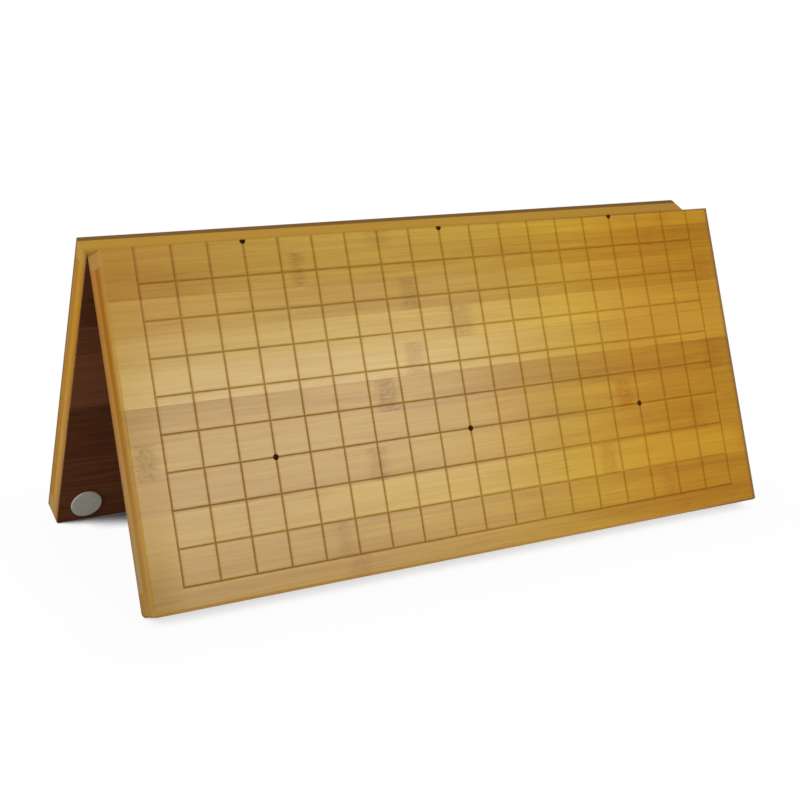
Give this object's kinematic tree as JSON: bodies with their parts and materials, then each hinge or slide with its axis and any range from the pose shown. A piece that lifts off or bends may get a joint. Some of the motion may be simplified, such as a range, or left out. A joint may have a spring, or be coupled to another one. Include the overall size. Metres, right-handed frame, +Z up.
{
  "type": "folding go board",
  "caption": "Two-piece laminated bamboo go board with an engraved square grid, hinged underneath so that it folds with its play faces outside.",
  "frame": {"origin": "middle of the outline's underside: on the floor, midway between the feet and midway along the fold", "axes": "+Z up, X along the fold, -Y towards the front half's play face"},
  "size_m": [0.45, 0.1962, 0.2014],
  "materials": {
    "bamboo": "satin lacquered bamboo",
    "bamboo_core": "bamboo plies, end grain showing",
    "stained_bamboo": "dark stained bamboo",
    "hinge_metal": "satin brass plated",
    "pad_rubber": "matt grey, soft"
  },
  "bodies": {
    "back_half": {"back_fold_batten": "bamboo", "back_edge_batten": "bamboo", "back_face_ply": "bamboo", "back_core_ply": "bamboo_core", "back_under_strip_1": "stained_bamboo", "back_under_strip_2": "stained_bamboo", "back_under_strip_3": "stained_bamboo", "back_under_strip_4": "stained_bamboo", "back_under_strip_5": "stained_bamboo", "back_under_strip_6": "stained_bamboo", "back_under_strip_7": "stained_bamboo", "back_under_strip_8": "stained_bamboo", "back_under_strip_9": "stained_bamboo", "back_left_hinge_leaf": "hinge_metal", "back_right_hinge_leaf": "hinge_metal", "back_left_pad": "pad_rubber", "back_right_pad": "pad_rubber", "left_hinge_pin": "hinge_metal", "right_hinge_pin": "hinge_metal"},
    "front_half": {"front_fold_batten": "bamboo", "front_edge_batten": "bamboo", "front_face_ply": "bamboo", "front_core_ply": "bamboo_core", "front_under_strip_1": "stained_bamboo", "front_under_strip_2": "stained_bamboo", "front_under_strip_3": "stained_bamboo", "front_under_strip_4": "stained_bamboo", "front_under_strip_5": "stained_bamboo", "front_under_strip_6": "stained_bamboo", "front_under_strip_7": "stained_bamboo", "front_under_strip_8": "stained_bamboo", "front_under_strip_9": "stained_bamboo", "front_left_hinge_leaf": "hinge_metal", "front_right_hinge_leaf": "hinge_metal", "front_left_pad": "pad_rubber", "front_right_pad": "pad_rubber"}
  },
  "joints": [
    {"name": "fold", "type": "hinge", "parent": "back_half", "child": "front_half", "pos_m": [0, 0, 0.19374], "axis": [-1, 0, 0], "range_deg": [-43.93, 135.7]}
  ]
}
